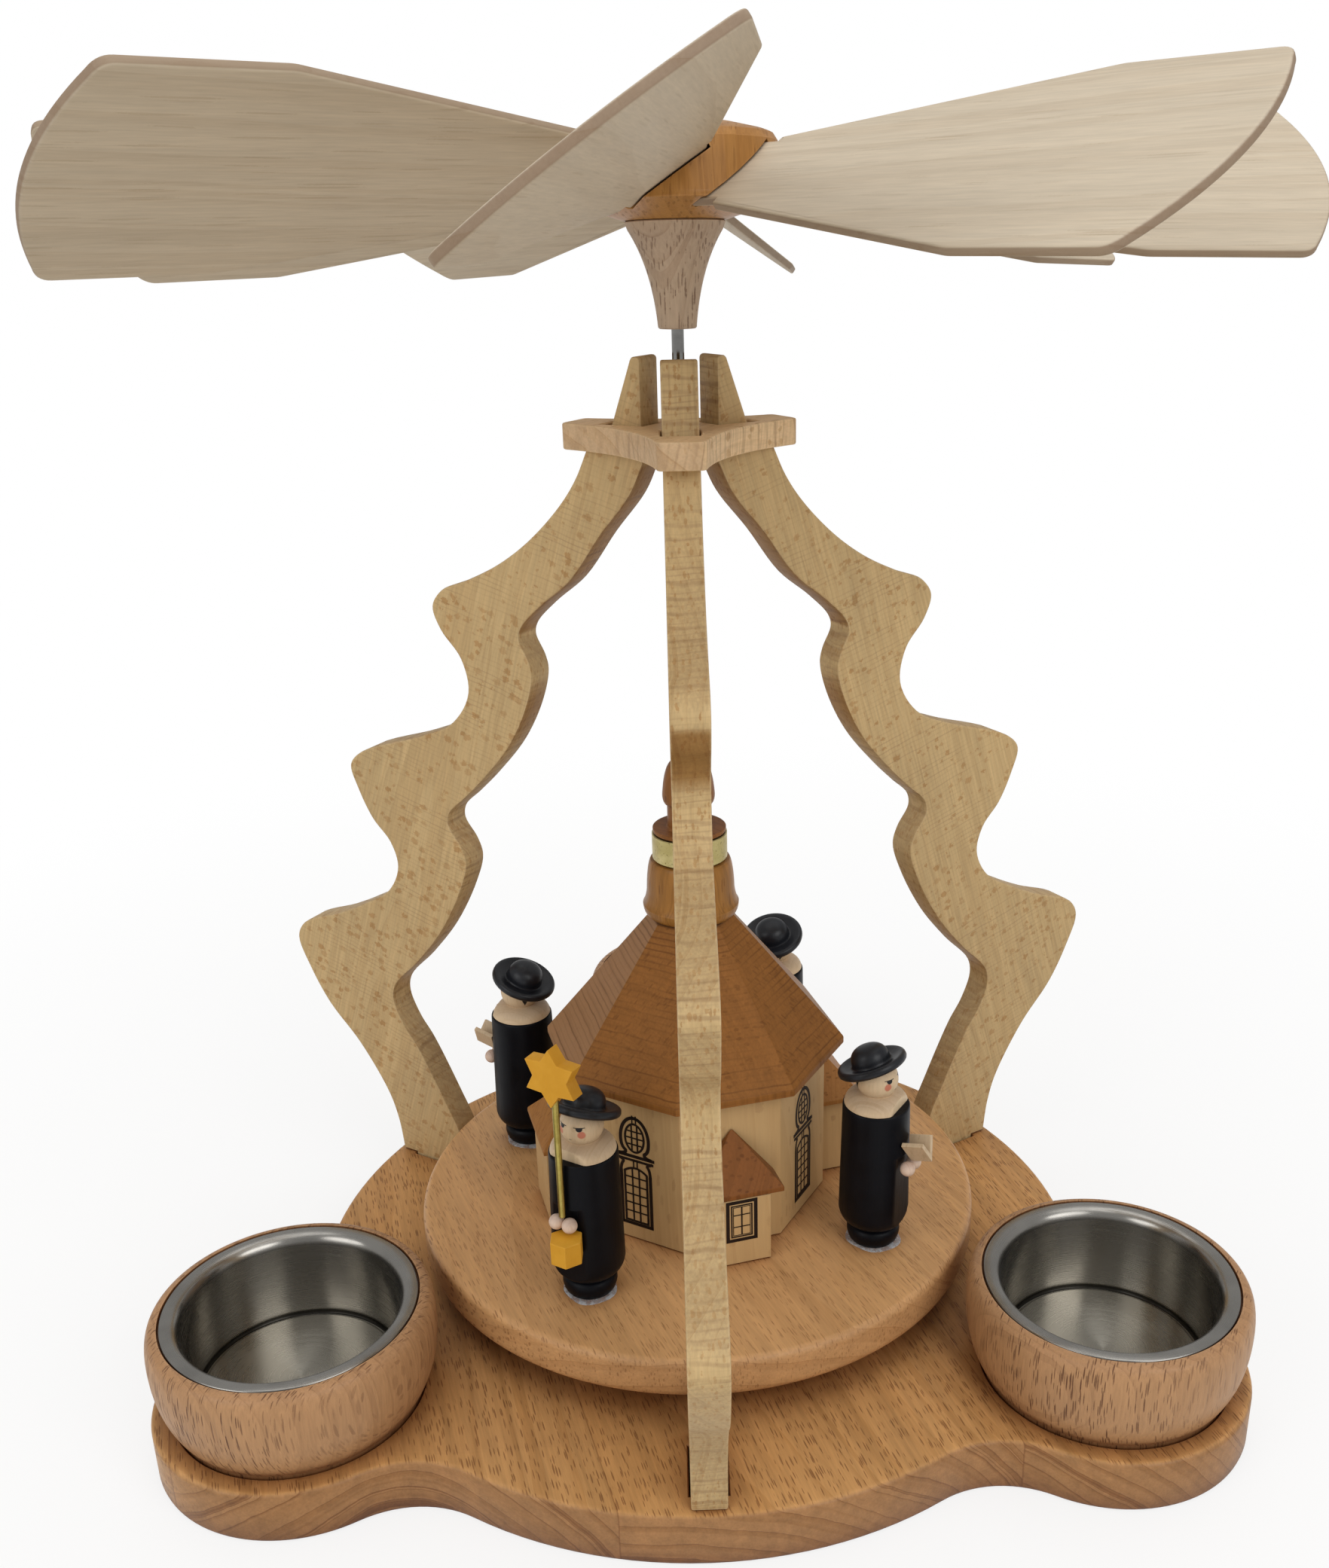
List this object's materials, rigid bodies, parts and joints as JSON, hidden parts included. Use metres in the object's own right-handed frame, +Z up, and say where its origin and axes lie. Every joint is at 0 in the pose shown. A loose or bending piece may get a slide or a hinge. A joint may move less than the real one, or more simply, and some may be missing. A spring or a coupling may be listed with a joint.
{
  "type": "christmas pyramid",
  "caption": "Wooden candle pyramid: scroll-sawn arms on a lobed base with tealight cups, and a turntable with a church and carol singers under a bladed rotor.",
  "frame": {"origin": "where the spindle's axis meets the plane that the base stands on", "axes": "+Z up along the spindle; one arm stands towards -Y, which is the front, and +X is to its right"},
  "size_m": [0.2156, 0.2255, 0.2394],
  "materials": {
    "base_beech": "oiled beech, end grain on the side",
    "cup_beech": "turned beech",
    "insert_metal": "spun sheet, satin",
    "arm_beech": "scroll-sawn beech",
    "spindle_steel": "drawn steel rod",
    "turntable_beech": "turned beech",
    "wall_linden": "pale wood, printed windows",
    "roof_brown": "brown stain",
    "annex_roof_brown": "reddish brown stain",
    "lantern_amber": "amber stain",
    "finial_brown": "brown stain",
    "hub_brown": "warm brown stain",
    "sleeve_beech": "turned beech",
    "blade_wood": "sawn veneer, pale",
    "black_paint": "black satin paint on turned wood",
    "figure_wood": "pale turned wood",
    "yellow_paint": "yellow paint",
    "brass": "satin"
  },
  "bodies": {
    "stand": {"base_board": "base_beech", "spindle_bearing": "brass", "cup_back": "cup_beech", "cup_front_left": "cup_beech", "cup_front_right": "cup_beech", "arm_front": "arm_beech", "arm_right": "arm_beech", "arm_left": "arm_beech", "collar_plate": "arm_beech"},
    "carousel": {"spindle": "spindle_steel", "turntable": "turntable_beech", "church_walls": "wall_linden", "church_roof": "roof_brown", "annex_front_walls": "wall_linden", "annex_front_roof": "annex_roof_brown", "annex_right_walls": "wall_linden", "annex_right_roof": "annex_roof_brown", "annex_back_walls": "wall_linden", "annex_back_roof": "annex_roof_brown", "annex_left_walls": "wall_linden", "annex_left_roof": "annex_roof_brown", "lantern_bell": "lantern_amber", "lantern_ring": "brass", "finial": "finial_brown", "bearer_coat": "black_paint", "bearer_hat": "black_paint", "bearer_head": "figure_wood", "bearer_hands": "figure_wood", "singer_right_coat": "black_paint", "singer_right_hat": "black_paint", "singer_right_head": "figure_wood", "singer_right_hands": "figure_wood", "singer_right_book": "figure_wood", "singer_left_coat": "black_paint", "singer_left_hat": "black_paint", "singer_left_head": "figure_wood", "singer_left_hands": "figure_wood", "singer_left_book": "figure_wood", "singer_back_coat": "black_paint", "singer_back_hat": "black_paint", "singer_back_head": "figure_wood", "singer_back_hands": "figure_wood", "singer_back_book": "figure_wood", "star_rod": "brass", "star": "yellow_paint", "hand_lantern": "yellow_paint"},
    "rotor": {"rotor_sleeve": "sleeve_beech", "rotor_hub": "hub_brown", "blade_1": "blade_wood", "blade_2": "blade_wood", "blade_3": "blade_wood", "blade_4": "blade_wood", "blade_5": "blade_wood", "blade_6": "blade_wood", "blade_7": "blade_wood", "blade_8": "blade_wood"},
    "insert_b": {"insert_back": "insert_metal"},
    "insert_fl": {"insert_front_left": "insert_metal"},
    "insert_fr": {"insert_front_right": "insert_metal"}
  },
  "joints": [
    {"name": "spindle_turn", "type": "hinge", "parent": "stand", "child": "carousel", "pos_m": [0, 0, 0.0075], "axis": [0, 0, 1], "continuous": true},
    {"name": "rotor_lift", "type": "slide", "parent": "carousel", "child": "rotor", "axis": [0, 0, 1], "range_m": [0, 0.03]},
    {"name": "insert_lift_back", "type": "slide", "parent": "stand", "child": "insert_b", "axis": [0, 0, 1], "range_m": [0, 0.02]},
    {"name": "insert_lift_front_left", "type": "slide", "parent": "stand", "child": "insert_fl", "axis": [0, 0, 1], "range_m": [0, 0.02]},
    {"name": "insert_lift_front_right", "type": "slide", "parent": "stand", "child": "insert_fr", "axis": [0, 0, 1], "range_m": [0, 0.02]}
  ]
}
